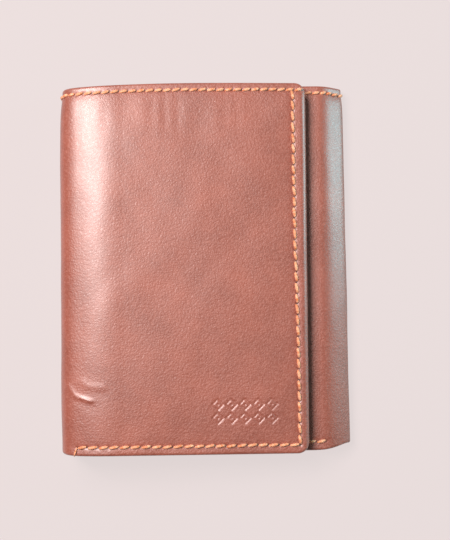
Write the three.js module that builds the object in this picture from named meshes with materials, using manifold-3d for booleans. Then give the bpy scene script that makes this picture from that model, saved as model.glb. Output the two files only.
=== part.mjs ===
// Trifold leather wallet, lying closed on its back cover.
// Millimetres. +X towards the right fold, +Y towards the mouth of the bill compartment, +Z up.
// The cover is one strip of leather on the real wallet. It is cut here at its four bends, so that
// the five flat stretches can turn on each other: front leaf, left fold, centre, right fold, inner leaf.
import * as THREE from 'three';
import { mergeVertices } from 'three/addons/utils/BufferGeometryUtils.js';
import Module from 'manifold-3d';

const wasm = await Module();
wasm.setup();

// Driving dimensions
const height = 110;            // along Y
const width = 86;              // closed, over both folds
const frontLength = 74;        // left fold's outside to the front leaf's free edge
const innerLength = 61;        // right fold's outside to the inner leaf's free edge
const leftHeight = 20;         // closed thickness at the left fold
const rightHeight = 8.4;       // thickness at the right fold
const frontTilt = 5;           // degrees, how far the front leaf slopes down to its free edge
const leftBend = 1.3;          // pivot inwards of the cover's middle at the left fold's bends
const rightBend = 1.0;         // the same at the right fold
const bendGap = 0.7;           // from a pivot to the end of each flat stretch
const stackInset = 3.5;        // from a fold's outside to the sheets inside the leaves

// Layers, as depths from the cover's outer face
const glue = 0.05;             // film between two sheets
const leather = 1.0;           // cover
const turnIn = 0.3;            // skived leather turned in along the cover's edges
const billGap = 0.5;           // bill compartment, empty
const wall = 0.4;              // inner wall of the bill compartment
const pocketSlot = 0.2;        // slot behind each card pocket
const pocketPitch = 0.6;       // depth that each card pocket adds
const filmDepth = 0.3;         // identity window and its glue
const frameDepth = 0.8;        // leather frame and its glue

const liningDepth = leather + turnIn;
const wallDepth = liningDepth + billGap;
const stackDepth = wallDepth + wall;

// Sewn edges
const turnInWidth = 8;
const cornerRadius = 3.5;
const sheetInset = 0.8;        // inner sheets stop short of the cover's edges
const sideSeam = 1.6;          // width that holds two sheets together at the sides
const bottomSeam = 3;
const wallTop = height / 2 - 4;

// Card pockets, from the back one to the front one: mouth and foot along Y
const pocketMouths = [42, 30, 18];
const pocketFeet = [-38, -50, -height / 2 + sheetInset];

// Identity window in the front leaf
const frameMouth = 42;
const windowMargin = { side: 11, foot: 10, mouth: 12 };

// Saddle-stitched rows in the cover
const stitch = { pitch: 3, width: 0.8, depth: 0.3, neck: 0.12, below: 0.05 };
const groove = { width: 1.0, depth: 0.4 };
const hemRow = height / 2 - 2.1;
const bottomRow = -height / 2 + 2.6;
const edgeRowInset = 3.6;
const rowEndInset = 0.6;
const rowStart = 4.2;          // the bottom rows start this far beyond a bend's pivot

const colours = {
  cover: ['#b87468', 0.5],
  lining: ['#4a3530', 0.85],
  wall: ['#7c4a3c', 0.6],
  pocket: ['#9a5f4e', 0.55],
  frame: ['#a5695a', 0.55],
  film: ['#dfe6ea', 0.15],
  thread: ['#e8935a', 0.7],
};

function material(kind) {
  const [color, roughness] = colours[kind];
  const clear = kind === 'film';
  return new THREE.MeshStandardMaterial({
    color, roughness, metalness: 0, transparent: clear, opacity: clear ? 0.4 : 1,
  });
}

function bare(geometry) {
  geometry.deleteAttribute('normal');
  geometry.deleteAttribute('uv');
  return mergeVertices(geometry);
}

function solid(geometry) {
  const merged = bare(geometry);
  return new wasm.Manifold(new wasm.Mesh({
    numProp: 3,
    vertProperties: merged.attributes.position.array,
    triVerts: Uint32Array.from(merged.index.array),
  }));
}

function fromSolid(manifold) {
  const mesh = manifold.getMesh();
  const geometry = new THREE.BufferGeometry();
  geometry.setAttribute('position', new THREE.BufferAttribute(mesh.vertProperties, 3));
  geometry.setIndex(new THREE.BufferAttribute(mesh.triVerts, 1));
  return geometry;
}

// A rectangle whose ends along X may have round corners
function outline(x0, x1, y0, y1, radius0, radius1) {
  const shape = new THREE.Shape();
  shape.moveTo(x0 + radius0, y0);
  shape.lineTo(x1 - radius1, y0);
  if (radius1 > 0) shape.absarc(x1 - radius1, y0 + radius1, radius1, -Math.PI / 2, 0);
  shape.lineTo(x1, y1 - radius1);
  if (radius1 > 0) shape.absarc(x1 - radius1, y1 - radius1, radius1, 0, Math.PI / 2);
  shape.lineTo(x0 + radius0, y1);
  if (radius0 > 0) shape.absarc(x0 + radius0, y1 - radius0, radius0, Math.PI / 2, Math.PI);
  shape.lineTo(x0, y0 + radius0);
  if (radius0 > 0) shape.absarc(x0 + radius0, y0 + radius0, radius0, Math.PI, Math.PI * 1.5);
  return shape;
}

// A flat sheet between two depths under the panel's outer face
function slab(panel, shape, depth0, depth1) {
  const z0 = panel.face + panel.inward * depth0;
  const z1 = panel.face + panel.inward * depth1;
  const geometry = new THREE.ExtrudeGeometry(shape, {
    depth: Math.abs(z1 - z0), bevelEnabled: false, curveSegments: 5,
  });
  geometry.translate(0, 0, Math.min(z0, z1));
  return geometry;
}

function add(panel, part, geometry, kind) {
  const mesh = new THREE.Mesh(geometry, material(kind));
  mesh.name = `${panel.name}_${part}`;
  panel.group.add(mesh);
}

// How far a sheet stays inside the cover at each end: a free edge, or a bend
function sheetSpan(panel, inset) {
  return {
    x0: panel.freeStart ? panel.x0 + inset : panel.sheetX0,
    x1: panel.freeEnd ? panel.x1 - inset : panel.sheetX1,
    r0: panel.freeStart ? cornerRadius - inset : 0,
    r1: panel.freeEnd ? cornerRadius - inset : 0,
  };
}

// The rows of stitches in a panel: along X or Y, from start to end, at a fixed offset
function stitchRows(panel) {
  const rows = [];
  const first = panel.freeStart ? panel.x0 + rowEndInset : panel.x0;
  const last = panel.freeEnd ? panel.x1 - rowEndInset : panel.x1;
  rows.push({ part: 'hem_thread', along: 'x', from: first, to: last, at: hemRow });
  if (panel.bottomRow) {
    rows.push({
      part: 'bottom_thread',
      along: 'x',
      from: panel.freeStart ? first : panel.x0 + rowStart - bendGap,
      to: panel.freeEnd ? last : panel.x1 - rowStart + bendGap,
      at: bottomRow,
    });
  }
  if (panel.freeStart || panel.freeEnd) {
    rows.push({
      part: 'edge_thread',
      along: 'y',
      from: bottomRow + groove.width,
      to: hemRow - groove.width,
      at: panel.freeStart ? panel.x0 + edgeRowInset : panel.x1 - edgeRowInset,
    });
  }
  return rows;
}

function grooveSolid(panel, row) {
  const half = groove.width / 2;
  const margin = (groove.width - stitch.width) / 2;
  const [a, b] = [row.from - margin, row.to + margin];
  const shape = row.along === 'x'
    ? outline(a, b, row.at - half, row.at + half, 0, 0)
    : outline(row.at - half, row.at + half, a, b, 0, 0);
  return solid(slab(panel, shape, -groove.depth, groove.depth));
}

// One row of stitches as a bar that swells at each stitch and narrows where the thread dives
function threadGeometry(panel, row) {
  const count = Math.max(1, Math.round((row.to - row.from) / stitch.pitch));
  const pitch = (row.to - row.from) / count;
  const zAt = depth => panel.face + panel.inward * depth;
  const base = zAt(stitch.below + stitch.depth);
  const neck = zAt(stitch.below + stitch.depth - stitch.neck);
  const crown = zAt(stitch.below);
  const profile = [new THREE.Vector2(0, base), new THREE.Vector2(0, neck)];
  for (let i = 0; i < count; i += 1) {
    profile.push(new THREE.Vector2((i + 0.25) * pitch, crown));
    profile.push(new THREE.Vector2((i + 0.75) * pitch, crown));
    profile.push(new THREE.Vector2((i + 1) * pitch, neck));
  }
  profile.push(new THREE.Vector2(count * pitch, base));
  const geometry = new THREE.ExtrudeGeometry(new THREE.Shape(profile), {
    depth: stitch.width, bevelEnabled: false,
  });
  geometry.translate(0, 0, -stitch.width / 2);
  geometry.rotateX(Math.PI / 2);
  if (row.along === 'x') {
    geometry.translate(row.from, row.at, 0);
  } else {
    geometry.rotateZ(Math.PI / 2);
    geometry.translate(row.at, row.from, 0);
  }
  return geometry;
}

// Cover leather: a plate with its edges turned in, and a groove under each row of stitches
function addCover(panel, rows) {
  const half = height / 2;
  const r0 = panel.freeStart ? cornerRadius : 0;
  const r1 = panel.freeEnd ? cornerRadius : 0;
  let cover = solid(slab(panel, outline(panel.x0, panel.x1, -half, half, r0, r1), 0, liningDepth));
  const inside = outline(
    panel.freeStart ? panel.x0 + turnInWidth : panel.x0 - 1,
    panel.freeEnd ? panel.x1 - turnInWidth : panel.x1 + 1,
    -half + turnInWidth, half - turnInWidth, 0, 0,
  );
  cover = cover.subtract(solid(slab(panel, inside, leather, liningDepth + 1)));
  for (const row of rows) cover = cover.subtract(grooveSolid(panel, row));
  add(panel, 'cover', fromSolid(cover), 'cover');
}

// Lining cloth between the turned-in edges
function addLining(panel) {
  const edge = turnInWidth + glue;
  const x0 = panel.freeStart ? panel.x0 + edge : panel.x0;
  const x1 = panel.freeEnd ? panel.x1 - edge : panel.x1;
  const shape = outline(x0, x1, -height / 2 + edge, height / 2 - edge, 0, 0);
  add(panel, 'lining', slab(panel, shape, leather + glue, liningDepth), 'lining');
}

// Inner wall of the bill compartment, held to the cover at its foot and at a free edge
function addWall(panel) {
  const { x0, x1, r0, r1 } = sheetSpan(panel, sheetInset);
  const foot = -height / 2 + sheetInset;
  const sheet = solid(slab(panel, outline(x0, x1, foot, wallTop, r0, r1), liningDepth + glue, stackDepth));
  const hollow = outline(
    panel.freeStart ? x0 + bottomSeam : x0 - 1,
    panel.freeEnd ? x1 - bottomSeam : x1 + 1,
    foot + bottomSeam, wallTop + 1, 0, 0,
  );
  const billSpace = solid(slab(panel, hollow, liningDepth, wallDepth));
  add(panel, 'bill_wall', fromSolid(sheet.subtract(billSpace)), 'wall');
}

// Card pockets overlap like stairs, each open along its mouth
function addCardPockets(panel) {
  const { x0, x1, r0, r1 } = sheetSpan(panel, sheetInset);
  pocketMouths.forEach((mouth, i) => {
    const foot = pocketFeet[i];
    const square = foot > -height / 2 + sheetInset;
    const back = stackDepth + i * pocketPitch;
    const shape = outline(x0, x1, foot, mouth, square ? 0 : r0, square ? 0 : r1);
    const sheet = solid(slab(panel, shape, back + glue, back + pocketPitch));
    const hollow = outline(x0 + sideSeam, x1 - sideSeam, foot + bottomSeam, mouth + 1, 0, 0);
    const slot = solid(slab(panel, hollow, back, back + pocketSlot));
    add(panel, `card_pocket_${i + 1}`, fromSolid(sheet.subtract(slot)), 'pocket');
  });
}

// Clear identity window under a leather frame, open along its mouth
function addIdentityWindow(panel) {
  const { x0, x1, r0, r1 } = sheetSpan(panel, sheetInset);
  const foot = -height / 2 + sheetInset;
  const filmBottom = stackDepth + filmDepth;
  const film = slab(panel, outline(x0, x1, foot, frameMouth, r0, r1), stackDepth + glue, filmBottom - glue);
  add(panel, 'id_window', film, 'film');
  const frame = outline(x0, x1, foot, frameMouth, r0, r1);
  const { side, foot: footMargin, mouth } = windowMargin;
  frame.holes.push(outline(x0 + side, x1 - side, foot + footMargin, frameMouth - mouth, 3, 3));
  add(panel, 'id_frame', slab(panel, frame, filmBottom, filmBottom + frameDepth), 'frame');
}

function addThreads(panel, rows) {
  for (const row of rows) add(panel, row.part, threadGeometry(panel, row), 'thread');
}

function addPanel(panel, fill) {
  const rows = stitchRows(panel);
  addCover(panel, rows);
  addLining(panel);
  addWall(panel);
  if (fill) fill(panel);
  addThreads(panel, rows);
}

// Pivots of the four bends, in the XZ plane
const left = -width / 2;
const right = width / 2;
const leftPivot = leather / 2 + leftBend;
const rightPivot = leather / 2 + rightBend;
const quarterTurn = Math.PI / 2;

const wallet = new THREE.Group();
wallet.name = 'trifold_wallet';

function panelGroup(x, z, turn) {
  const group = new THREE.Group();
  group.position.set(x, 0, z);
  group.rotation.y = turn;
  wallet.add(group);
  return group;
}

addPanel({
  name: 'centre',
  group: panelGroup(0, 0, 0),
  face: 0,
  inward: 1,
  x0: left + leftPivot + bendGap,
  x1: right - rightPivot - bendGap,
  sheetX0: left + stackInset,
  sheetX1: right - stackInset,
  bottomRow: true,
}, addCardPockets);

// Each fold stands on edge, so its own X axis runs up
addPanel({
  name: 'left_fold',
  group: panelGroup(left, 0, -quarterTurn),
  face: 0,
  inward: -1,
  x0: leftPivot + bendGap,
  x1: leftHeight - leftPivot - bendGap,
  sheetX0: leftPivot + bendGap,
  sheetX1: leftHeight - leftPivot - bendGap,
});

addPanel({
  name: 'front_leaf',
  group: panelGroup(left + leftPivot, leftHeight - leftPivot, THREE.MathUtils.degToRad(frontTilt)),
  face: leftPivot,
  inward: -1,
  x0: bendGap,
  x1: frontLength - leftPivot,
  sheetX0: stackInset - leftPivot,
  freeEnd: true,
  bottomRow: true,
}, addIdentityWindow);

addPanel({
  name: 'right_fold',
  group: panelGroup(right, 0, -quarterTurn),
  face: 0,
  inward: 1,
  x0: rightPivot + bendGap,
  x1: rightHeight - rightPivot - bendGap,
  sheetX0: rightPivot + bendGap,
  sheetX1: rightHeight - rightPivot - bendGap,
});

addPanel({
  name: 'inner_leaf',
  group: panelGroup(0, rightHeight, 0),
  face: 0,
  inward: -1,
  x0: right - innerLength,
  x1: right - rightPivot - bendGap,
  sheetX1: right - stackInset,
  freeStart: true,
  bottomRow: true,
}, addCardPockets);

export default wallet;
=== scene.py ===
# Trifold leather wallet lying closed on its back cover, and what shows inside when it opens.
# Shapes are worked out in millimetres and made in metres.
# s runs along the cover strip: front leaf's free edge, left fold, back, right fold, inner leaf's free edge.
import math

import bpy
import numpy as np
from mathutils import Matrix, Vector


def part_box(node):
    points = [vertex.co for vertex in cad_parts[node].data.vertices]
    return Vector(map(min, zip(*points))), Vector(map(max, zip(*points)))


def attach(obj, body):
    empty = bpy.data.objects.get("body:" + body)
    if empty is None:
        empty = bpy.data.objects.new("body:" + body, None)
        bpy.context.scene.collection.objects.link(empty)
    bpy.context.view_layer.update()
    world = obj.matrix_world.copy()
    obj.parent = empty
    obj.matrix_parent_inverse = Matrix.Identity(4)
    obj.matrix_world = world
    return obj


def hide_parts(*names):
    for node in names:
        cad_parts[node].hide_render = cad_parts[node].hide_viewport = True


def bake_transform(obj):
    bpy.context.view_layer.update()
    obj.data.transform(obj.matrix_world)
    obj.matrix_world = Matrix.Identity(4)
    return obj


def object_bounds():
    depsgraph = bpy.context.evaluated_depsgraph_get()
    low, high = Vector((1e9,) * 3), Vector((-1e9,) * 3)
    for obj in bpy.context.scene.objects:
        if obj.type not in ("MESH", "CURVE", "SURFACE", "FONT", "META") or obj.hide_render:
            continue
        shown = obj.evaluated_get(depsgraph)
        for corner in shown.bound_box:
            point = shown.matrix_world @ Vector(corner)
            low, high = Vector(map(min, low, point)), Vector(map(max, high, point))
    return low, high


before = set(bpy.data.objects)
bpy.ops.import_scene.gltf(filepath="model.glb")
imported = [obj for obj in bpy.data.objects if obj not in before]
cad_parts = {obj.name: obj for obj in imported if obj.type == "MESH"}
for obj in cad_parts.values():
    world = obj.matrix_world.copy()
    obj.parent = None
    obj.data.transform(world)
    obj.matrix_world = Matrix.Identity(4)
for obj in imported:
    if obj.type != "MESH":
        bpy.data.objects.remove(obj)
cadLow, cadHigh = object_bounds()
mm = 0.001
rng = np.random.default_rng(7)

left, right = cadLow.x / mm, cadHigh.x / mm
half = cadHigh.y / mm
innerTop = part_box("inner_leaf_cover")[1].z / mm
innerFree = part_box("inner_leaf_cover")[0].x / mm
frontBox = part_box("front_leaf_cover")
print("frame loaded:", len(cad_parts), "nodes")


# Camera: straight above, turned and leaned a little
view = {"target": (5.55, -0.55, 12.0), "distance": 430.0, "lens": 96.2, "lean": 2.0, "roll": -0.5}


def makeCamera():
    camera = bpy.data.objects.new("camera", bpy.data.cameras.new("camera"))
    bpy.context.scene.collection.objects.link(camera)
    lean = math.radians(view["lean"])
    out = Vector((0, -math.sin(lean), math.cos(lean)))
    camera.location = (Vector(view["target"]) + out * view["distance"]) * mm
    camera.rotation_euler = (-out).to_track_quat("-Z", "Y").to_euler()
    camera.rotation_euler.rotate_axis("Z", math.radians(view["roll"]))
    camera.data.lens = view["lens"]
    camera.data.clip_start = 0.01
    bpy.context.scene.camera = camera


makeCamera()


# The line of the cover's outer face, in the XZ plane
def bend(p0, p1, p2, p3, steps=60):
    t = np.linspace(0, 1, steps)[:, None]
    a, b, c, d = (np.array(p, float) for p in (p0, p1, p2, p3))
    return (1 - t) ** 3 * a + 3 * (1 - t) ** 2 * t * b + 3 * (1 - t) * t * t * c + t**3 * d


def straight(p0, p1):
    a, b = np.array(p0), np.array(p1)
    return bend(p0, a * 2 / 3 + b / 3, a / 3 + b * 2 / 3, p1)


coverLine = {
    "frontFree": (frontBox[1].x / mm - 0.7, 14.5),
    "frontShoulder": (left + 18.5, 18.54),    # where the leaf starts to round over
    "leftBrow": (left + 6, 18.05),
    "leftSpine": (12.5, 7.0),    # the left fold is straight between these heights
    "leftFoot": left + 5.5,
    "rightFoot": right - 4.7,
    "rightSpine": (2.8, 3.4),
    "rightBrow": (right - 8.5, innerTop - 0.02),
    "rightLean": 1.3,    # the right fold stands this much further in at its top than at its foot
    "leanFrom": 25, "leanOver": 15,    # the lean starts at this x and is whole this much further right
}


def buildCoverLine():
    c = coverLine
    free, shoulder, brow = (np.array(c[k]) for k in ("frontFree", "frontShoulder", "leftBrow"))
    top, bottom = c["leftSpine"]
    low, high = c["rightSpine"]
    rightBrow = np.array(c["rightBrow"])
    parts = [
        bend(free, free + (-19, 1.5), shoulder + (18, -1.1), shoulder),
        bend(shoulder, shoulder + (-4, 0.35), brow + (4.5, 0.95), brow),
        bend(brow, brow + (-3.1, -0.62), (left, top + 4.0), (left, top)),
        straight((left, top), (left, bottom)),
        bend((left, bottom), (left, bottom - 3.8), (c["leftFoot"] - 3.2, 0), (c["leftFoot"], 0)),
        straight((c["leftFoot"], 0), (0, 0)),
        straight((0, 0), (c["rightFoot"], 0)),
        bend((c["rightFoot"], 0), (c["rightFoot"] + 2.7, 0), (right, low - 1.9), (right, low)),
        straight((right, low), (right, high)),
        bend((right, high), (right, high + 0.9), rightBrow + (3.3, -0.1), rightBrow),
        bend(rightBrow, rightBrow + (-4.5, 0.2), (0, innerTop), (innerFree, innerTop)),
    ]
    line = np.concatenate([parts[0]] + [p[1:] for p in parts[1:]])
    step = np.linalg.norm(np.diff(line, axis=0), axis=1)
    along = np.concatenate([[0], np.cumsum(step)])
    ends = np.cumsum([len(parts[0]) - 1] + [len(p) - 1 for p in parts[1:]])
    return line, along, along[ends]


rawLine, rawAlong, partEnds = buildCoverLine()
total = rawAlong[-1]
fine = np.arange(0, total + 0.05, 0.1).clip(max=total)
lineX, lineZ = np.interp(fine, rawAlong, rawLine[:, 0]), np.interp(fine, rawAlong, rawLine[:, 1])
lineAngle = np.unwrap(np.arctan2(np.gradient(lineZ), np.gradient(lineX)))
softer = np.exp(-np.linspace(-2, 2, 21) ** 2)
padded = np.pad(lineAngle, 10, mode="edge")
lineAngle = np.convolve(padded, softer / softer.sum(), mode="valid")

sShoulder, sBrow, sSpineTop, sSpineFoot, sLeftFoot, sMiddle, sRightFoot = partEnds[:7]
sRightLow, sRightHigh, sRightBrow = partEnds[7:10]
sLeftCut = (sSpineTop + sSpineFoot) / 2    # where one cover piece meets the next
sRightCut = (sRightLow + sRightHigh) / 2
print("cover strip is", round(total, 1), "mm long")


# Point at distance s along the strip, y up the wallet and depth in from the outer face.
def place(s, y, depth):
    angle = np.interp(s, fine, lineAngle)
    x = np.interp(s, fine, lineX) - np.sin(angle) * depth
    z = np.interp(s, fine, lineZ) + np.cos(angle) * depth
    leaning = ((x - coverLine["leanFrom"]) / coverLine["leanOver"]).clip(0, 1) ** 2
    x = x - coverLine["rightLean"] * (0.5 + y / (2 * half)) * leaning
    return np.stack(np.broadcast_arrays(x, y, z), axis=-1) * mm


# Outline of the strip: its top and foot edges, pulled in where the leather folds
outlineShape = {
    "corner": 3.5, "topLeftPull": 1.5, "topLeftTuck": 0.5, "footLeftTuck": 1.0,
    "topRightPull": 0.3, "footRightPull": 2.0, "innerFootLift": 0.3,
}


def hump(s, centre, reach):
    return np.exp(-(((s - centre) / reach) ** 2))


def topEdge(s):
    o = outlineShape
    leftEnd = o["topLeftPull"] * hump(s, sLeftCut, 28) + o["topLeftTuck"] * hump(s, sLeftCut, 6)
    return half - leftEnd - o["topRightPull"] * hump(s, sRightCut, 5)


def footEdge(s):
    o = outlineShape
    lift = o["innerFootLift"] / (1 + np.exp(-(s - sRightHigh) / 1.5))
    reach = np.where(s < sRightCut, 15, 6.5)
    leftTuck = o["footLeftTuck"] * hump(s, sLeftCut, 6)
    rightPull = o["footRightPull"] * hump(s, sRightCut, reach)
    return -half + leftTuck + rightPull + lift


# Rows of stitches, each a list of needle holes (s, y)
coverSpec = {
    "leather": 1.0, "turnIn": 0.3, "turnInWidth": 8.0, "border": 4.8, "borderSpacing": 0.3,
    "leafSpacing": (0.6, 0.62), "backSpacing": (0.9, 1.0), "stampSpacing": 0.24, "stampMargin": 0.5,
}
stitching = {
    "hemDrop": 2.1, "hemEnd": 0.9, "footRise": 2.6, "backDrop": 1.05, "innerRise": 3.4,
    "edgeInset": 3.5, "edgeDrift": 0.6, "hemPitch": 2.62, "pitch": 3.15,
    "threadRadius": 0.46, "slant": 0.24, "sink": 0.3, "lift": 0.08, "gap": 0.09, "wander": 0.09,
    "pressedIn": 0.15,    # the inside stitches are pressed flatter where the leaves lie on each other
}


def holesAlong(y, s0, s1, pitch):
    count = max(1, round((s1 - s0) / pitch))
    s = np.linspace(s0, s1, count + 1)
    s[1:-1] += rng.normal(0, stitching["wander"], count - 1)
    return np.stack([s, y(s) + rng.normal(0, stitching["wander"] * 0.6, count + 1)], axis=1)


def holesUp(s, y0, y1, pitch):
    count = round((y1 - y0) / pitch)
    y = np.linspace(y0, y1, count + 1)
    y[1:-1] += rng.normal(0, stitching["wander"], count - 1)
    return np.stack([s(y) + rng.normal(0, stitching["wander"] * 0.6, count + 1), y], axis=1)


def hemLine(s):
    return topEdge(s) - stitching["hemDrop"]


def footLine(s):
    return footEdge(s) + stitching["footRise"]


# Lower, so that the back's inside stitches lie clear of the inner leaf's.
def backFootLine(s):
    return footLine(s) - stitching["backDrop"]


def edgeLine(y):
    return stitching["edgeInset"] + stitching["edgeDrift"] * np.tanh((y + 5) / 25)


def innerEdgeLine(y):
    return total - stitching["edgeInset"] + 0 * y


sFrontFootEnd = sBrow + 1.2
sInnerFootEnd = sRightBrow - 1.0
edgeTop = half - stitching["hemDrop"]
rowHoles = {
    "hem": holesAlong(hemLine, stitching["hemEnd"], total - stitching["hemEnd"], stitching["hemPitch"]),
    "frontFoot": holesAlong(footLine, edgeLine(-half), sFrontFootEnd, stitching["pitch"]),
    "frontEdge": holesUp(edgeLine, -half + stitching["footRise"], edgeTop, stitching["pitch"]),
    "backFoot": holesAlong(backFootLine, sLeftFoot + 1, sRightFoot - 1, stitching["pitch"]),
    "innerFoot": holesAlong(footLine, sInnerFootEnd, total - stitching["edgeInset"], stitching["pitch"]),
    "innerEdge": holesUp(innerEdgeLine, -half + stitching["innerRise"], edgeTop, stitching["pitch"]),
}


# Relief of the outer face, in mm out of the leather
relief = {
    "seamDip": 0.1, "seamReach": 1.2, "holeDip": 0.26, "holeReach": 0.45, "pillow": 0.28,
    "freeRoll": 0.85, "freeReach": 1.9, "hemRoll": 0.45, "hemReach": 4.6, "ripple": 0.07, "stampDepth": 0.18,
}
stamp = {"s": 19.2, "y": -42.3, "width": 20.0, "rows": 2, "columns": 5, "rowPitch": 4.0}
creases = [  # (s from the left brow, y) along each crease, its height and its width
    {"points": [(3.9, -34.3), (1.6, -37.4), (-3.0, -38.9)], "height": 0.24, "width": 0.65},
    {"points": [(-0.6, -33.4), (-2.4, -34.6), (-6.6, -35.0)], "height": 0.1, "width": 1.0},
]


def toSegment(s, y, a, b):
    ab = np.array(b) - np.array(a)
    t = ((s - a[0]) * ab[0] + (y - a[1]) * ab[1]) / (ab @ ab)
    t = t.clip(0, 1)
    return np.hypot(s - a[0] - t * ab[0], y - a[1] - t * ab[1])


# Distance to the nearest hole, and to the line through them, of one row.
def seamDistance(s, y, holes):
    toHole = np.full(s.shape, 99.0)
    toLine = np.full(s.shape, 99.0)
    low, high = holes.min(0) - 4, holes.max(0) + 4
    near = (s > low[0]) & (s < high[0]) & (y > low[1]) & (y < high[1])
    sn, yn = s[near], y[near]
    toHole[near] = np.hypot(sn[:, None] - holes[:, 0], yn[:, None] - holes[:, 1]).min(1)
    best = np.full(sn.shape, 99.0)
    for a, b in zip(holes[:-1], holes[1:]):
        close = (np.abs(sn - (a[0] + b[0]) / 2) < 7) & (np.abs(yn - (a[1] + b[1]) / 2) < 7)
        best[close] = np.minimum(best[close], toSegment(sn[close], yn[close], a, b))
    toLine[near] = best
    return toHole, toLine


# Two rows of lozenges pressed into the leather.
def stampRelief(s, y):
    pitch = stamp["width"] / stamp["columns"]
    u = (s - stamp["s"]) + stamp["width"] / 2
    v = (y - stamp["y"]) + stamp["rowPitch"] * stamp["rows"] / 2
    inside = (u > 0) & (u < stamp["width"]) & (v > 0) & (v < stamp["rowPitch"] * stamp["rows"])
    du = np.abs((u % pitch) - pitch / 2) / (pitch / 2)
    dv = np.abs((v % stamp["rowPitch"]) - stamp["rowPitch"] / 2) / (stamp["rowPitch"] / 2)
    lozenge = du + dv
    ring = np.exp(-(((lozenge - 0.8) / 0.18) ** 2))
    dot = np.exp(-((lozenge / 0.24) ** 2))
    return -relief["stampDepth"] * np.where(inside, np.maximum(ring, dot), 0)


# How far the whole leather rolls inward at the front leaf's free edge and at the hem.
def edgeRoll(s, y):
    hem = relief["hemRoll"] * np.exp(-(((topEdge(s) - y) / relief["hemReach"]) ** 2))
    return hem + relief["freeRoll"] * (1 - s / relief["freeReach"]).clip(0) ** 2


# The slow swell of the outer face, which the stitches follow too.
def broadRelief(s, y):
    inward = np.minimum(np.minimum(topEdge(s) - y, y - footEdge(s)), np.minimum(s, total - s)).clip(0)
    height = relief["pillow"] * (1 - np.exp(-((inward / 9) ** 2))) * (s < sSpineTop)
    wave = np.sin(s * 0.21 + 1.3 * np.sin(y * 0.06)) * np.sin(y * 0.13 + 0.8 * np.sin(s * 0.09 + 1))
    patch = np.sin(s * 0.47 + 1.9 * np.sin(y * 0.11)) * np.sin(y * 0.29 + 1.2 * np.sin(s * 0.19))
    return height - edgeRoll(s, y) + relief["ripple"] * (wave + 0.35 * patch)


# Height of the outer face over its plain line; inward is the distance to the nearest edge.
def coverRelief(s, y, inward):
    height = broadRelief(s, y)
    # needle marks how close each point lies to a needle hole; it sinks the hole and also paints shade into it
    # in the leather's colour
    needle = np.zeros(s.shape)
    line = np.full(s.shape, 99.0)
    for holes in rowHoles.values():
        toHole, toLine = seamDistance(s, y, holes)
        line = np.minimum(line, toLine)
        needle = np.maximum(needle, np.exp(-((toHole / relief["holeReach"]) ** 2)))
    height -= relief["seamDip"] * np.exp(-((line / relief["seamReach"]) ** 2))
    height -= relief["holeDip"] * needle
    # short puckers that run down from the hem, strongest over the left half of the front leaf
    pucker = np.sin(s * 1.15 + 2 * np.sin(s * 0.3)) * np.exp(-((half - 9 - y) / 6) ** 2)
    height += 0.035 * pucker * hump(s, sShoulder - 14, 20)
    height += stampRelief(s, y)
    for crease in creases:
        points = [(sBrow + a, b) for a, b in crease["points"]]
        distance = np.full(s.shape, 99.0)
        for a, b in zip(points[:-1], points[1:]):
            distance = np.minimum(distance, toSegment(s, y, a, b))
        height += crease["height"] * np.exp(-((distance / crease["width"]) ** 2))
        below = toSegment(s, y + 1.7, points[0], points[-1])
        height -= crease["height"] * 0.3 * np.exp(-((below / 1.8) ** 2))
    fade = 1 - np.exp(-((inward / 0.7) ** 2))
    return (height + edgeRoll(s, y)) * fade - edgeRoll(s, y), needle


# Meshes
def meshObject(name, vertices, faces, uv=None, values=None, sharp=None):
    mesh = bpy.data.meshes.new(name)
    mesh.from_pydata(vertices.tolist(), [], faces)
    mesh.update()
    if uv is not None:
        layer = mesh.uv_layers.new(name="UVMap")
        index = np.zeros(len(mesh.loops), np.int32)
        mesh.loops.foreach_get("vertex_index", index)
        layer.data.foreach_set("uv", uv[index].astype(np.float32).ravel())
    for key, value in (values or {}).items():
        mesh.attributes.new(key, "FLOAT", "POINT").data.foreach_set("value", value.astype(np.float32))
    mesh.polygons.foreach_set("use_smooth", np.ones(len(mesh.polygons), bool))
    if sharp is not None:
        chosen = set(map(tuple, sharp))
        flags = [tuple(sorted(e.vertices)) in chosen for e in mesh.edges]
        mesh.attributes.new("sharp_edge", "BOOLEAN", "EDGE").data.foreach_set("value", flags)
    thing = bpy.data.objects.new(name, mesh)
    bpy.context.scene.collection.objects.link(thing)
    return thing


# Positions from the first mark to the last, through every mark, no wider apart than spacing.
def steps(marks, spacing):
    found = [marks[0]]
    for a, b in zip(marks[:-1], marks[1:]):
        count = max(1, math.ceil((b - a) / spacing - 1e-9))
        found += [a + (b - a) * (k + 1) / count for k in range(count)]
    return np.array(found)


# Distances in from an edge: close together on the rounded edge, then evenly out to reach.
def edgeSteps(radius, reach, spacing):
    rounding = [radius * (1 - math.cos(math.radians(a))) for a in (0, 30, 60, 90)]
    return np.concatenate([rounding[:-1], steps([radius, reach], spacing)])


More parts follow.
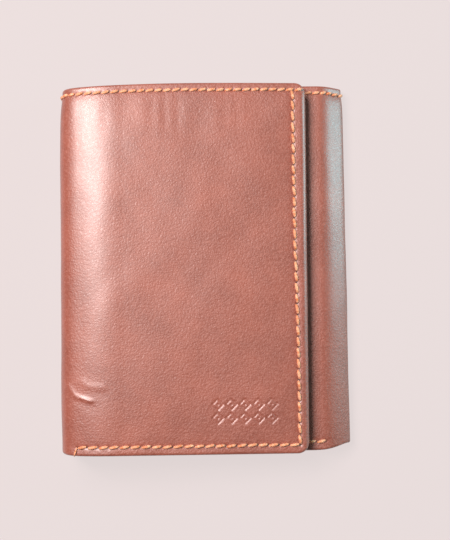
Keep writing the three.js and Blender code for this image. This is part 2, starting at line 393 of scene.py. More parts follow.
# A thin closed sheet that follows the cover's line.
# spec has s0, s1, top, foot, outer and thick, and may have free0, free1, corner, heights, backs and spacings.
def makeSheet(name, spec):
    s0, s1, thick = spec["s0"], spec["s1"], spec["thick"]
    free0, free1 = spec.get("free0", False), spec.get("free1", False)
    corner = spec.get("corner", 0.0) if (free0 or free1) else 0.0
    edge = thick / 2
    spacing = spec.get("spacing", 1.0)
    border = edgeSteps(edge, spec.get("border", 1.5), spec.get("borderSpacing", 0.5))
    startReach = s0 + border[-1] if free0 else s0
    endReach = s1 - border[-1] if free1 else s1
    columns = steps([startReach, endReach], spacing)
    if free0:
        columns = np.concatenate([s0 + border[:-1], columns])
    if free1:
        columns = np.concatenate([columns, (s1 - border[:-1])[::-1]])
    ends = [(cut - 3, cut + 3, 0.4) for cut in (sLeftCut, sRightCut)]    # so that two lengths meet smoothly
    for low, high, gap in spec.get("sFine", []) + ends:
        if high > s0 and low < s1:
            keep = columns[(columns < low) | (columns > high)]
            columns = np.sort(np.concatenate([keep, np.arange(max(low, s0) + 1e-6, min(high, s1), gap)]))
            columns[0], columns[-1] = s0, s1
    inS = np.full(columns.shape, 1e3)
    if free0:
        inS = np.minimum(inS, columns - s0)
    if free1:
        inS = np.minimum(inS, s1 - columns)
    drop = np.zeros(columns.shape)
    if corner > 0:
        within = (corner - inS).clip(0, corner)
        drop = corner - np.sqrt(corner**2 - within**2)
    top, foot = spec["top"](columns), spec["foot"](columns)
    topCut, footCut = top - drop, foot + drop
    reach = border[-1]
    middle = steps([0.0, 1.0], spec.get("ySpacing", spacing) / (top.max() - foot.min()))
    for low, high, gap in spec.get("yFine", []):
        a, b = ((v + half - reach) / (2 * half - 2 * reach) for v in (low, high))
        keep = middle[(middle < a) | (middle > b)]
        middle = np.sort(np.concatenate([keep, np.arange(a, b, gap / (2 * half))]))
    rows = [(footCut + e) for e in border[:-1]]
    rows += [footCut + reach + (topCut - footCut - 2 * reach) * m for m in middle]
    rows += [(topCut - e) for e in border[:-1][::-1]]
    Y = np.stack(rows, axis=1)
    S = np.repeat(columns[:, None], Y.shape[1], axis=1)
    inY = np.minimum(top[:, None] - Y, Y - foot[:, None])
    inward = np.minimum(inS[:, None], inY)
    if corner > 0:
        both = (inS[:, None] < corner) & (inY < corner)
        rounded = corner - np.hypot(corner - inS[:, None], corner - inY)
        inward = np.where(both, rounded, inward)
    inward = inward.clip(0)
    curl = edge - np.sqrt((edge**2 - (edge - inward.clip(max=edge)) ** 2).clip(0))
    height, extra = spec["heights"](S, Y, inward) if "heights" in spec else (0 * S, 0 * S)
    back = spec["backs"](S, Y, inward) if "backs" in spec else 0 * S + thick
    outer = place(S, Y, spec["outer"] + curl - height)
    inner = place(S, Y, spec["outer"] + back - curl)
    rim = np.zeros(S.shape, bool)
    rim[:, 0] = rim[:, -1] = True
    if free0:
        rim[0] = True
    if free1:
        rim[-1] = True
    count = S.size
    outIndex = np.arange(count).reshape(S.shape)
    inIndex = np.where(rim, outIndex, 0)
    inIndex[~rim] = count + np.arange((~rim).sum())
    vertices = np.concatenate([outer.reshape(-1, 3), inner[~rim]])
    flatS, flatY = np.concatenate([S.ravel(), S[~rim]]), np.concatenate([Y.ravel(), Y[~rim]])
    # the needle attribute carries the painted shade round needle holes; the inner face gets none
    needle = np.concatenate([extra.ravel(), 0 * S[~rim]])
    faces = []
    for index, flip in ((outIndex, False), (inIndex, True)):
        a, b, c, d = index[:-1, :-1], index[1:, :-1], index[1:, 1:], index[:-1, 1:]
        quads = np.stack([a, d, c, b] if flip else [a, b, c, d], axis=-1).reshape(-1, 4)
        faces += quads.tolist()
    sharp = []
    for row, free, flip in ((0, free0, False), (-1, free1, True)):
        if free:
            continue
        o, i = outIndex[row], inIndex[row]
        for k in range(len(o) - 1):
            ring = [o[k], o[k + 1], i[k + 1], i[k]]
            ring = [v for n, v in enumerate(ring) if v not in ring[:n]]
            faces.append([int(v) for v in (ring[::-1] if flip else ring)])
            sharp += [tuple(sorted((int(o[k]), int(o[k + 1])))), tuple(sorted((int(i[k]), int(i[k + 1]))))]
    uv = np.stack([flatS, flatY], axis=1) / 100    # one unit is 100 mm
    return meshObject(name, vertices, faces, uv, {"needle": needle}, sharp)


# Materials
def colour(code):
    values = [int(code[i:i + 2], 16) / 255 for i in (1, 3, 5)]
    return [v / 12.92 if v <= 0.04045 else ((v + 0.055) / 1.055) ** 2.4 for v in values] + [1.0]


def addNode(tree, kind, settings=None, links=None, stops=()):
    node = tree.nodes.new(kind)
    for key, value in (settings or {}).items():
        if isinstance(key, int) or key in node.inputs:
            node.inputs[key].default_value = value
        else:
            setattr(node, key, value)
    for key, (source, output) in (links or {}).items():
        tree.links.new(source.outputs[output], node.inputs[key])
    for number, (position, shade) in enumerate(stops):
        node.color_ramp.elements[number].position = position
        node.color_ramp.elements[number].color = colour(shade)
    return node


def newMaterial(name):
    material = bpy.data.materials.new(name)
    material.use_nodes = True
    tree = material.node_tree
    shader = tree.nodes["Principled BSDF"]
    coords = addNode(tree, "ShaderNodeTexCoord")
    return material, tree, shader, coords


# Texture scale for a feature of that size in mm, where one UV unit is 100 mm.
def perUnit(size):
    return 100 / size


# Plated cowhide: pigment rolled smooth and sealed, so it has a fine grain under a soft gloss.
# Its real pores are 0.1 to 0.2 mm wide. They are drawn 0.55 mm wide so that they show.
cowhideLook = {
    # the hole colour is painted shade: near black, mixed in round each needle hole
    "skin": "#A45946", "deep": "#8F4B3A", "pale": "#B4705F", "holeShade": "#351409",
    "grain": 0.55, "mottle": 14, "speckle": 0.9, "wrinkle": 1.15, "roughness": (0.42, 0.6),
    "IOR": 1.5, "Specular IOR Level": 0.75, "Coat Weight": 0.85, "Coat Roughness": 0.33, "Coat IOR": 1.6,
}


def makeCoverLeather():
    look = cowhideLook
    material, tree, shader, coords = newMaterial("plated_cowhide")
    flat = {"Vector": (coords, "UV")}
    mottle = addNode(tree, "ShaderNodeTexNoise",
                     {"Scale": perUnit(look["mottle"]), "Detail": 5.0, "Roughness": 0.6}, flat)
    speckle = addNode(tree, "ShaderNodeTexNoise",
                      {"Scale": perUnit(look["speckle"]), "Detail": 2.0, "Roughness": 0.55}, flat)
    tone = addNode(tree, "ShaderNodeValToRGB", links={"Fac": (mottle, "Fac")},
                   stops=[(0.3, look["deep"]), (0.7, look["skin"])])
    flecks = addNode(tree, "ShaderNodeMapRange",
                     {"From Min": 0.52, "From Max": 0.74, "To Min": 0.0, "To Max": 0.55},
                     {"Value": (speckle, "Fac")})
    pearly = addNode(tree, "ShaderNodeMix", {"data_type": "RGBA", 7: colour(look["pale"])},
                     {0: (flecks, "Result"), 6: (tone, "Color")})
    # Painted shade: the needle mask darkens the colour towards near black round each needle hole, in place of
    # the hole's own shadow.
    needle = addNode(tree, "ShaderNodeAttribute", {"attribute_name": "needle"})
    dark = addNode(tree, "ShaderNodeMapRange", {"From Min": 0.35, "From Max": 0.9},
                   {"Value": (needle, "Fac")})
    skin = addNode(tree, "ShaderNodeMix", {"data_type": "RGBA", 7: colour(look["holeShade"])},
                   {0: (dark, "Result"), 6: (pearly, 2)})
    tree.links.new(skin.outputs[2], shader.inputs["Base Color"])
    low, high = look["roughness"]
    gloss = addNode(tree, "ShaderNodeMapRange",
                    {"From Min": 0.35, "From Max": 0.65, "To Min": low, "To Max": high},
                    {"Value": (speckle, "Fac")})
    tree.links.new(gloss.outputs[0], shader.inputs["Roughness"])
    cells = addNode(tree, "ShaderNodeTexVoronoi", {"Scale": perUnit(look["grain"]), "Randomness": 1.0}, flat)
    crease = addNode(tree, "ShaderNodeTexNoise",
                     {"Scale": perUnit(look["wrinkle"]), "Detail": 4.0, "Roughness": 0.6}, flat)
    grain = addNode(tree, "ShaderNodeBump", {"Strength": 0.8, "Distance": 0.0001},
                    {"Height": (cells, "Distance")})
    broad = addNode(tree, "ShaderNodeBump", {"Strength": 0.65, "Distance": 0.00013},
                    {"Height": (crease, "Fac"), "Normal": (grain, "Normal")})
    tree.links.new(broad.outputs[0], shader.inputs["Normal"])
    for socket in ("IOR", "Specular IOR Level", "Coat Weight", "Coat Roughness", "Coat IOR"):
        shader.inputs[socket].default_value = look[socket]
    return material


# Thin skived calf, finished matt: the same pigment, less gloss, a tighter grain.
# Its pores are drawn 0.6 mm wide, as the cover's are drawn coarser too.
# The hole colour is painted shade for the needle holes.
calfLook = {"mottle": 9, "grain": 0.6, "holeShade": "#22100A", "roughnessSpread": 0.08}


def makeInnerLeather(name, skin, deep, roughness):
    look = calfLook
    material, tree, shader, coords = newMaterial(name)
    flat = {"Vector": (coords, "UV")}
    mottle = addNode(tree, "ShaderNodeTexNoise",
                     {"Scale": perUnit(look["mottle"]), "Detail": 6.0, "Roughness": 0.6}, flat)
    tone = addNode(tree, "ShaderNodeValToRGB", links={"Fac": (mottle, "Fac")},
                   stops=[(0.3, deep), (0.7, skin)])
    # Painted shade: near black round the needle holes, where the needle attribute is set.
    needle = addNode(tree, "ShaderNodeAttribute", {"attribute_name": "needle"})
    holeShade = addNode(tree, "ShaderNodeMix", {"data_type": "RGBA", 7: colour(look["holeShade"])},
                   {0: (needle, "Fac"), 6: (tone, "Color")})
    tree.links.new(holeShade.outputs[2], shader.inputs["Base Color"])
    cells = addNode(tree, "ShaderNodeTexVoronoi", {"Scale": perUnit(look["grain"])}, flat)
    grain = addNode(tree, "ShaderNodeBump", {"Strength": 0.4, "Distance": 0.00005},
                    {"Height": (cells, "Distance")})
    tree.links.new(grain.outputs[0], shader.inputs["Normal"])
    spread = look["roughnessSpread"]
    gloss = addNode(tree, "ShaderNodeMapRange", {"To Min": roughness - spread, "To Max": roughness + spread},
                    {"Value": (mottle, "Fac")})
    tree.links.new(gloss.outputs[0], shader.inputs["Roughness"])
    return material


# Plain-woven viscose lining: dull and dark. Its threads are 0.3 mm apart, drawn 0.6 mm apart to show.
liningLook = {"dark": "#2B1D19", "light": "#54403A", "threadGap": 0.6, "Roughness": 0.85, "Sheen Weight": 0.2}


def makeLiningCloth():
    look = liningLook
    material, tree, shader, coords = newMaterial("woven_lining")
    flat = {"Vector": (coords, "UV")}
    scale = perUnit(look["threadGap"]) / 6.28    # a wave texture repeats every 1 / (2 pi scale)
    warp = addNode(tree, "ShaderNodeTexWave", {"Scale": scale, "Distortion": 0.4}, flat)
    weft = addNode(tree, "ShaderNodeTexWave",
                   {"bands_direction": "Y", "Scale": scale, "Distortion": 0.4}, flat)
    weave = addNode(tree, "ShaderNodeMath", {"operation": "MULTIPLY"}, {0: (warp, "Fac"), 1: (weft, "Fac")})
    tone = addNode(tree, "ShaderNodeValToRGB", links={"Fac": (weave, 0)},
                   stops=[(0, look["dark"]), (1, look["light"])])
    tree.links.new(tone.outputs[0], shader.inputs["Base Color"])
    bump = addNode(tree, "ShaderNodeBump", {"Strength": 0.5, "Distance": 0.0001}, {"Height": (weave, 0)})
    tree.links.new(bump.outputs[0], shader.inputs["Normal"])
    for socket in ("Roughness", "Sheen Weight"):
        shader.inputs[socket].default_value = look[socket]
    return material


# Bonded nylon sewing thread: three plies twisted together, waxed, with small bright glints.
threadLook = {"dark": "#D87A45", "light": "#FAB88E", "wisp": 0.7, "Roughness": 0.45, "Sheen Weight": 0.3}


def makeThread():
    look = threadLook
    material, tree, shader, coords = newMaterial("bonded_nylon_thread")
    wisps = addNode(tree, "ShaderNodeTexNoise", {"Scale": perUnit(look["wisp"]), "Detail": 4.0},
                    {"Vector": (coords, "UV")})
    tone = addNode(tree, "ShaderNodeValToRGB", links={"Fac": (wisps, "Fac")},
                   stops=[(0.32, look["dark"]), (0.62, look["light"])])
    tree.links.new(tone.outputs[0], shader.inputs["Base Color"])
    bump = addNode(tree, "ShaderNodeBump", {"Strength": 0.4, "Distance": 0.00003}, {"Height": (wisps, "Fac")})
    tree.links.new(bump.outputs[0], shader.inputs["Normal"])
    for socket in ("Roughness", "Sheen Weight"):
        shader.inputs[socket].default_value = look[socket]
    return material


# Clear flexible PVC, calendered: colourless, glossy, slightly wavy and scuffed.
filmLook = {"tint": "#E9EEF0", "scuff": 5, "roughness": (0.06, 0.3), "IOR": 1.5, "Alpha": 0.12}


def makeWindowFilm():
    look = filmLook
    material, tree, shader, coords = newMaterial("clear_pvc")
    scuffs = addNode(tree, "ShaderNodeTexNoise", {"Scale": perUnit(look["scuff"]), "Detail": 5.0},
                     {"Vector": (coords, "UV")})
    low, high = look["roughness"]
    gloss = addNode(tree, "ShaderNodeMapRange", {"To Min": low, "To Max": high}, {"Value": (scuffs, "Fac")})
    tree.links.new(gloss.outputs[0], shader.inputs["Roughness"])
    wave = addNode(tree, "ShaderNodeBump", {"Strength": 0.4, "Distance": 0.0003}, {"Height": (scuffs, "Fac")})
    tree.links.new(wave.outputs[0], shader.inputs["Normal"])
    shader.inputs["Base Color"].default_value = colour(look["tint"])
    for socket in ("IOR", "Alpha"):
        shader.inputs[socket].default_value = look[socket]
    return material


coverLeather = makeCoverLeather()
wallLeather = makeInnerLeather("skived_calf_wall", "#7A4436", "#71402F", 0.55)
pocketLeather = makeInnerLeather("skived_calf_pocket", "#8E5140", "#854A3A", 0.5)
frameLeather = makeInnerLeather("skived_calf_frame", "#955745", "#8B4F3E", 0.48)
liningCloth = makeLiningCloth()
threadNylon = makeThread()
windowFilm = makeWindowFilm()
print("materials made")


# Cover: four lengths of the strip, each bending over one corner of the folded wallet
lengths = [  # s from, s to, bodies, where each bend starts and ends
    {"s0": 0, "s1": sLeftCut, "bodies": ("left_fold", "front_leaf"),
     "bend": (sSpineTop + 0.3, sBrow - 0.3), "free0": True},
    {"s0": sLeftCut, "s1": sMiddle, "bodies": ("centre", "left_fold"), "bend": (sLeftFoot, sSpineFoot)},
    {"s0": sMiddle, "s1": sRightCut, "bodies": ("centre", "right_fold"), "bend": (sRightFoot, sRightLow)},
    {"s0": sRightCut, "s1": total, "bodies": ("right_fold", "inner_leaf"),
     "bend": (sRightHigh, sRightBrow), "free1": True},
]
leaves = ("front_leaf", "left_fold", "centre", "right_fold", "inner_leaf")


def bendOver(piece, length):
    start, end = (Vector(place(s, 0.0, 0.0)) for s in length["bend"])
    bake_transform(piece)


# Depth of the inner face: thicker where the edge is turned in.
def coverBack(s, y, inward):
    leather, turnIn = coverSpec["leather"], coverSpec["turnIn"]
    return leather + turnIn * (inward < coverSpec["turnInWidth"]) + edgeRoll(s, y)


def makeCover():
    for number, length in enumerate(lengths, 1):
        sSpacing, ySpacing = coverSpec["leafSpacing"] if number in (1, 4) else coverSpec["backSpacing"]
        spec = {
            "s0": length["s0"], "s1": length["s1"],
            "free0": length.get("free0"), "free1": length.get("free1"),
            "top": topEdge, "foot": footEdge, "corner": outlineShape["corner"],
            "outer": 0.0, "thick": coverSpec["leather"] + coverSpec["turnIn"],
            "heights": coverRelief, "backs": coverBack, "spacing": sSpacing, "ySpacing": ySpacing,
            "border": coverSpec["border"], "borderSpacing": coverSpec["borderSpacing"],
        }
        if number == 1:
            sReach = stamp["width"] / 2 + coverSpec["stampMargin"]
            yReach = stamp["rows"] * stamp["rowPitch"] / 2 + coverSpec["stampMargin"]
            spec["sFine"] = [(stamp["s"] - sReach, stamp["s"] + sReach, coverSpec["stampSpacing"])]
            spec["yFine"] = [(stamp["y"] - yReach, stamp["y"] + yReach, coverSpec["stampSpacing"])]
        piece = makeSheet(f"cover_leather_{number}", spec)
        piece.data.materials.append(coverLeather)
        bendOver(piece, length)
    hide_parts(*[f"{leaf}_cover" for leaf in leaves])
    print("cover made")


makeCover()


# Depths of the layers inside, from the cover's outer face
inside = {"liningTop": 1.03, "lining": 0.27, "wallTop": 1.82, "wall": 0.4, "inset": 0.8, "wallDrop": 4.0}
pocketSpec = {
    "first": 2.3, "pitch": 0.6, "thick": 0.42, "mouths": (42, 30, 18), "feet": (-38, -50, -54.2),
    "sideGap": 0.8, "lineDrop": 1.8, "lineDepth": 0.12, "lineWidth": 0.22,
}
windowSpec = {
    "side": 11, "foot": -44.2, "mouth": 30, "radius": 3.0, "film": 2.3, "filmThick": 0.2,
    "frame": 2.5, "frameThick": 0.8, "frameMouth": 42,
}


# A twisted thread along path; side and up span its cross-section.
def tube(path, side, up, radius, sides=10, plies=3, twist=0.0):
    count = len(path)
    along = np.linspace(0, 1, count)
    angle = np.linspace(0, 2 * math.pi, sides, endpoint=False)
    taper = 0.55 + 0.45 * np.sin(math.pi * along.clip(0.02, 0.98)) ** 0.6
    turned = angle[None, :] - twist * 2 * math.pi * along[:, None]
    size = radius * taper[:, None] * (1 + 0.13 * np.cos(plies * turned))
    ring = (np.cos(angle)[None, :, None] * size[..., None] * side[:, None, :]
            + np.sin(angle)[None, :, None] * size[..., None] * up[:, None, :])
    vertices = (path[:, None, :] + ring).reshape(-1, 3)
    faces = []
    for k in range(count - 1):
        for n in range(sides):
            m = (n + 1) % sides
            faces.append([k * sides + n, k * sides + m, (k + 1) * sides + m, (k + 1) * sides + n])
    faces.append([n for n in range(sides)][::-1])
    faces.append([(count - 1) * sides + n for n in range(sides)])
    return vertices, faces


# Centre line of one stitch between holes a and b, diving in at both ends.
def stitchPath(a, b, depth, outward, samples=9):
    t = np.linspace(0, 1, samples)
    run = np.array(b) - np.array(a)
    length = np.hypot(*run)
    across = np.array([-run[1], run[0]]) / length
    lean = stitching["slant"] * (1 - 2 * t)
    inset = stitching["gap"]
    s = a[0] + run[0] * (inset + (1 - 2 * inset) * t) + across[0] * lean
    y = a[1] + run[1] * (inset + (1 - 2 * inset) * t) + across[1] * lean
    lift = -stitching["sink"] + (stitching["sink"] + stitching["lift"]) * np.sin(math.pi * t) ** 0.6
    middle = len(t) // 2
    depth = depth(s, y) if outward > 0 else depth(s[middle], y[middle])
    point = place(s, y, depth - outward * lift)
    ahead = np.gradient(point, axis=0)
    ahead /= np.linalg.norm(ahead, axis=1)[:, None]
    normal = (place(s, y, depth - outward) - place(s, y, depth)) / mm
    side = np.cross(ahead, normal)
    side /= np.linalg.norm(side, axis=1)[:, None]
    return point, side, np.cross(side, ahead), s, y


def faceDepth(s, y):
    return -broadRelief(s, y)


# Depth of the face that shows inside, where the same rows come through.
def insideDepth(s, y):
    top, leaf = y > topEdge(s) - 4, s < sBrow
    wallFoot, middleMouth, lowMouth = pocketSpec["mouths"]
    slips = 0.0 + (y < middleMouth) + (y < lowMouth)
    step = pocketSpec["first"] + pocketSpec["thick"] + pocketSpec["pitch"] * slips
    stacked = np.where(leaf, windowSpec["frame"] + windowSpec["frameThick"], step)
    walled = np.where(y > wallFoot, inside["wallTop"] + inside["wall"], stacked) - stitching["pressedIn"]
    return np.where(top, coverSpec["leather"] + coverSpec["turnIn"] + edgeRoll(s, y), walled)


# One object with both faces' stitches between holes; cut keeps those between two values of s.
def makeStitches(name, holes, cut=None, extras=()):
    vertices, faces, uv = [], [], []
    base = 0
    for depth, outward in ((faceDepth, 1.0), (insideDepth, -1.0)):
        for a, b in zip(holes[:-1], holes[1:]):
            if cut and not cut[0] <= (a[0] + b[0]) / 2 < cut[1]:
                continue
            path, side, up, s, y = stitchPath(a, b, depth, outward)
            v, f = tube(path, side, up, stitching["threadRadius"] * mm, twist=1.6)
            vertices.append(v)
            faces += [[base + n for n in face] for face in f]
            along, up = np.repeat(s, 10) / 100, np.repeat(y, 10) / 100
            uv.append(np.stack([along + v[:, 2] * 3, up + v[:, 2] * 2], axis=1))
            base += len(v)
    for v, f in extras:
        vertices.append(v)
        faces += [[base + n for n in face] for face in f]
        uv.append(v[:, :2] * 10)
        base += len(v)
    piece = meshObject(name, np.concatenate(vertices), faces, np.concatenate(uv))
    piece.data.materials.append(threadNylon)
    return piece


looseEnd = {"across": 0.9, "down": 2.55, "rise": 0.12, "arch": 0.25, "radius": 0.26}


# The cut end of the foot row's thread, which lies over the edge.
def threadEnd(s, y):
    t = np.linspace(0, 1, 7)
    rise = looseEnd["rise"] + looseEnd["arch"] * np.sin(math.pi * t)
    path = place(s + looseEnd["across"] * t, y - looseEnd["down"] * t, -rise)
    ahead = np.gradient(path, axis=0)
    ahead /= np.linalg.norm(ahead, axis=1)[:, None]
    side = np.cross(ahead, np.array([[0, 0, 1.0]]))
    side /= np.linalg.norm(side, axis=1)[:, None]
    return tube(path, side, np.cross(side, ahead), looseEnd["radius"] * mm, twist=1.5)


def makeSeams():
    loose = [threadEnd(*rowHoles["frontFoot"][-1])]
    for number, length in enumerate(lengths, 1):
        piece = makeStitches(f"hem_stitches_{number}", rowHoles["hem"], cut=(length["s0"], length["s1"]))
        bendOver(piece, length)
    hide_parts(*[f"{leaf}_hem_thread" for leaf in leaves])
    for name, row, body, node, extras in (
        ("front_foot_stitches", "frontFoot", "front_leaf", "front_leaf_bottom_thread", loose),
        ("front_edge_stitches", "frontEdge", "front_leaf", "front_leaf_edge_thread", ()),
        ("back_foot_stitches", "backFoot", "centre", "centre_bottom_thread", ()),
        ("inner_foot_stitches", "innerFoot", "inner_leaf", "inner_leaf_bottom_thread", ()),
        ("inner_edge_stitches", "innerEdge", "inner_leaf", "inner_leaf_edge_thread", ()),
    ):
        piece = makeStitches(name, rowHoles[row], extras=extras)
        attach(piece, body)
        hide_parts(node)
    print("seams made")


makeSeams()


# Lining and inner wall, four lengths each
def makeLining():
    edge = coverSpec["turnInWidth"] + 0.1
    for number, length in enumerate(lengths, 1):
        s0 = length["s0"] + (edge if length.get("free0") else 0)
        s1 = length["s1"] - (edge if length.get("free1") else 0)
        spec = {
            "s0": s0, "s1": s1, "free0": length.get("free0"), "free1": length.get("free1"),
            "top": lambda s: topEdge(s) - edge, "foot": lambda s: footEdge(s) + edge,
            "outer": inside["liningTop"], "thick": inside["lining"], "spacing": 1.2, "ySpacing": 4.0,
        }
        piece = makeSheet(f"lining_{number}", spec)
        piece.data.materials.append(liningCloth)
        bendOver(piece, length)
    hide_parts(*[f"{leaf}_lining" for leaf in leaves])


def makeWall():
    for number, length in enumerate(lengths, 1):
        spec = {
            "s0": length["s0"] + (inside["inset"] if length.get("free0") else 0),
            "s1": length["s1"] - (inside["inset"] if length.get("free1") else 0),
            "free0": length.get("free0"), "free1": length.get("free1"), "corner": 2.7,
            "top": lambda s: topEdge(s) - inside["wallDrop"], "foot": lambda s: footEdge(s) + inside["inset"],
            "outer": inside["wallTop"], "thick": inside["wall"], "spacing": 1.0, "ySpacing": 3.0,
        }
        piece = makeSheet(f"bill_wall_{number}", spec)
        piece.data.materials.append(wallLeather)
        bendOver(piece, length)
    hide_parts(*[f"{leaf}_bill_wall" for leaf in leaves])


makeLining()
makeWall()
print("lining and inner wall made")


# Card pockets: three leather slips on the back and three on the inner leaf
# The side that shows carries one creased line along its mouth.
def pocketRelief(mouth):
    def relieved(s, y, inward):
        line = np.exp(-(((y - mouth + pocketSpec["lineDrop"]) / pocketSpec["lineWidth"]) ** 2))
        return -pocketSpec["lineDepth"] * line * (1 - np.exp(-((inward / 0.8) ** 2)))
    return relieved


def makePockets():
    spans = {
        "centre": (sLeftFoot + 0.2, sRightFoot - 0.2),
        "inner_leaf": (sRightBrow + 0.5, total - pocketSpec["sideGap"]),
    }
    for body, (s0, s1) in spans.items():
        for k, (mouth, foot) in enumerate(zip(pocketSpec["mouths"], pocketSpec["feet"])):
            lowest = -half + outlineShape["innerFootLift"] + pocketSpec["sideGap"]
            low = max(foot, lowest) if body == "inner_leaf" else foot
            crease = pocketRelief(mouth)
            thick = pocketSpec["thick"]
            spec = {
                "s0": s0, "s1": s1, "free0": True, "free1": True,
                "corner": 2.4 if k == 2 else 0.6,
                "top": lambda s, m=mouth: m + 0 * s, "foot": lambda s, f=low: f + 0 * s,
                "outer": pocketSpec["first"] + k * pocketSpec["pitch"], "thick": thick,
                "spacing": 1.6, "ySpacing": 1.6, "border": 2.4, "borderSpacing": 0.3,
                "backs": lambda s, y, inward, c=crease, w=thick: w + c(s, y, inward),
            }
            piece = makeSheet(f"{body}_pocket_{k + 1}", spec)
            piece.data.materials.append(pocketLeather)
            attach(piece, body)
            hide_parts(f"{body}_card_pocket_{k + 1}")
    print("pockets made")


makePockets()


# Identity window: clear film behind a leather frame, inside the front leaf
# Points round a rounded rectangle, counter-clockwise, the same number whatever its size.
def roundedBox(s0, s1, y0, y1, radius, perCorner=8, perSide=24):
    points = []
    corners = ((s1 - radius, y0 + radius, -90), (s1 - radius, y1 - radius, 0),
               (s0 + radius, y1 - radius, 90), (s0 + radius, y0 + radius, 180))
    arcs = []
    for cx, cy, start in corners:
        angle = np.radians(start + np.linspace(0, 90, perCorner))
        arcs.append(np.stack([cx + radius * np.cos(angle), cy + radius * np.sin(angle)], axis=1))
    for k, arc in enumerate(arcs):
        following = arcs[(k + 1) % 4][0]
        side = arc[-1] + (following - arc[-1]) * np.linspace(0, 1, perSide + 1)[1:-1, None]
        points += [arc, side]
    return np.concatenate(points)


def makeFrame(s0, s1):
    w = windowSpec
    opening = roundedBox(s0 + w["side"] - 0.8, s1 - w["side"] + 0.8, w["foot"], w["mouth"], w["radius"])
    outer = roundedBox(s0, s1, -half + 0.8, w["frameMouth"], 2.7)
    edge, thick = w["frameThick"] / 2, w["frameThick"]
    width = np.linalg.norm(outer - opening, axis=1)[:, None]
    rounding = [edge * (1 - math.cos(math.radians(a))) for a in (0, 30, 60, 90)]
    away = np.array(rounding + [1.2, 1.6, 2.0, 2.4])
    share = [d / width for d in away] + [0.35, 0.5, 0.65] + [1 - d / width for d in away[:4][::-1]]
    near = [d + 0 * width for d in away] + [width * f for f in (0.35, 0.5, 0.65)]
    near += [d + 0 * width for d in away[:4][::-1]]
    rows, tops, bottoms = [], [], []
    for f, d in zip(share, near):
        rows.append(opening + (outer - opening) * f)
        inward = np.minimum(d, edge)
        curl = edge - np.sqrt((edge**2 - (edge - inward) ** 2).clip(0))[:, 0]
        pressed = 0.14 * np.exp(-(((d[:, 0] - 1.6) / 0.35) ** 2))    # creased line round the opening
        tops.append(w["frame"] + curl)
        bottoms.append(w["frame"] + thick - curl - pressed)
    flat = np.concatenate(rows)
    count, around = len(flat), len(opening)
    a = place(flat[:, 0], flat[:, 1], np.concatenate(tops))
    b = place(flat[:, 0], flat[:, 1], np.concatenate(bottoms))
    faces = []
    for r in range(len(rows) - 1):
        for n in range(around):
            m = (n + 1) % around
            ring = [r * around + n, r * around + m, (r + 1) * around + m, (r + 1) * around + n]
            faces.append(ring)
            edgeRow = {True: r == 0, False: r + 1 == len(rows) - 1}    # both faces share the rim's points
            under = [v if edgeRow[v < (r + 1) * around] else v + count for v in ring]
            faces.append(under[::-1])
    vertices = np.concatenate([a, b])
    uv = np.concatenate([flat, flat]) / 100
    piece = meshObject("window_frame", vertices, faces, uv, {"needle": np.zeros(len(vertices))})
    bpy.context.view_layer.objects.active = piece
    piece.select_set(True)
    bpy.ops.object.mode_set(mode="EDIT")
    bpy.ops.mesh.select_all(action="SELECT")
    bpy.ops.mesh.delete_loose()
    bpy.ops.mesh.normals_make_consistent(inside=False)
    bpy.ops.object.mode_set(mode="OBJECT")
    piece.data.materials.append(frameLeather)
    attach(piece, "front_leaf")
    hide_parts("front_leaf_id_frame")


def makeWindow():
    w = windowSpec
    s0, s1 = 0.8, sBrow - 0.5
    spec = {
        "s0": s0 + 3, "s1": s1 - 3, "free0": True, "free1": True, "corner": 2.0,
        "top": lambda s: w["mouth"] + 6 + 0 * s, "foot": lambda s: w["foot"] - 4 + 0 * s,
        "outer": w["film"], "thick": w["filmThick"], "spacing": 1.5, "ySpacing": 4.0, "border": 0.8,
    }
    film = makeSheet("window_film", spec)
    film.data.materials.append(windowFilm)
    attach(film, "front_leaf")
    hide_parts("front_leaf_id_window")
    makeFrame(s0, s1)
    print("identity window made")


makeWindow()


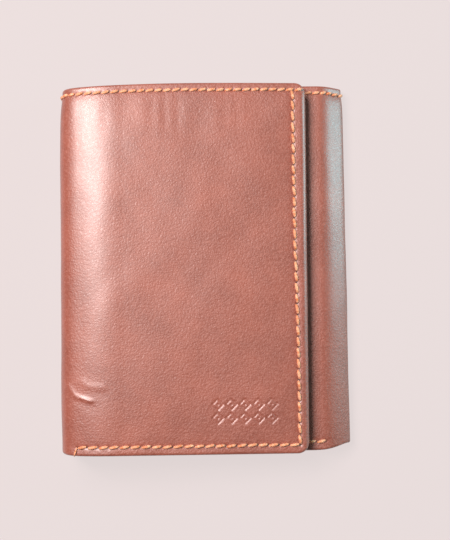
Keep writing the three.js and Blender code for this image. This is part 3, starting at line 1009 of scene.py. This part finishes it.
# Floor and light
stage = {
    "floor": "#4A4444", "floorSize": 3, "floorZ": -0.0009, "Roughness": 0.95, "Specular IOR Level": 0.1,
    "glow": "#EADFDE", "glowStrength": 0.89, "world": "#F2ECEC", "worldStrength": 0.1,
}
lamps = {  # where each one stands and what it faces in metres, its width and height, watts and tint
    "left_softbox": ((-0.21, 0.13, 0.5), (-0.03, 0.015, 0), (0.085, 0.29), 3.15, "#FFF3F0"),
    "top_softbox": ((-0.27, 0.42, 0.68), (0, 0, 0), (0.14, 0.4), 1.1, "#FFF1EA"),
    "sheen_panel": ((-0.19, 0.33, 0.6), (0, 0.02, 0), (0.18, 0.2), 1.35, "#FFF1EE"),
    "right_window": ((0.46, 0.1, 0.085), (0.04, 0.02, 0), (0.15, 0.32), 1.6, "#ADEEF6"),
}


def areaLight(name, spot, target, size, power, tint):
    data = bpy.data.lights.new(name, "AREA")
    data.shape, data.size, data.size_y = "RECTANGLE", size[0], size[1]
    data.energy, data.color = power, colour(tint)[:3]
    lamp = bpy.data.objects.new(name, data)
    bpy.context.scene.collection.objects.link(lamp)
    lamp.location = spot
    lamp.rotation_euler = (Vector(target) - Vector(spot)).to_track_quat("-Z", "Y").to_euler()


# Matt paper: no gloss, and a glow of its own that keeps it even and pale.
def makeStage():
    bpy.ops.mesh.primitive_plane_add(size=stage["floorSize"], location=(0, 0, stage["floorZ"]))
    floor = bpy.context.object
    floor.name = "floor"
    material = bpy.data.materials.new("matt_paper")
    material.use_nodes = True
    shader = material.node_tree.nodes["Principled BSDF"]
    shader.inputs["Base Color"].default_value = colour(stage["floor"])
    for socket in ("Roughness", "Specular IOR Level"):
        shader.inputs[socket].default_value = stage[socket]
    shader.inputs["Emission Color"].default_value = colour(stage["glow"])
    shader.inputs["Emission Strength"].default_value = stage["glowStrength"]
    floor.data.materials.append(material)
    world = bpy.data.worlds.new("studio")
    world.use_nodes = True
    bpy.context.scene.world = world
    background = world.node_tree.nodes["Background"]
    background.inputs["Color"].default_value = colour(stage["world"])
    background.inputs["Strength"].default_value = stage["worldStrength"]
    for name, values in lamps.items():
        areaLight(name, *values)
    bpy.context.scene.view_settings.view_transform = "Standard"


makeStage()
print("stage made")
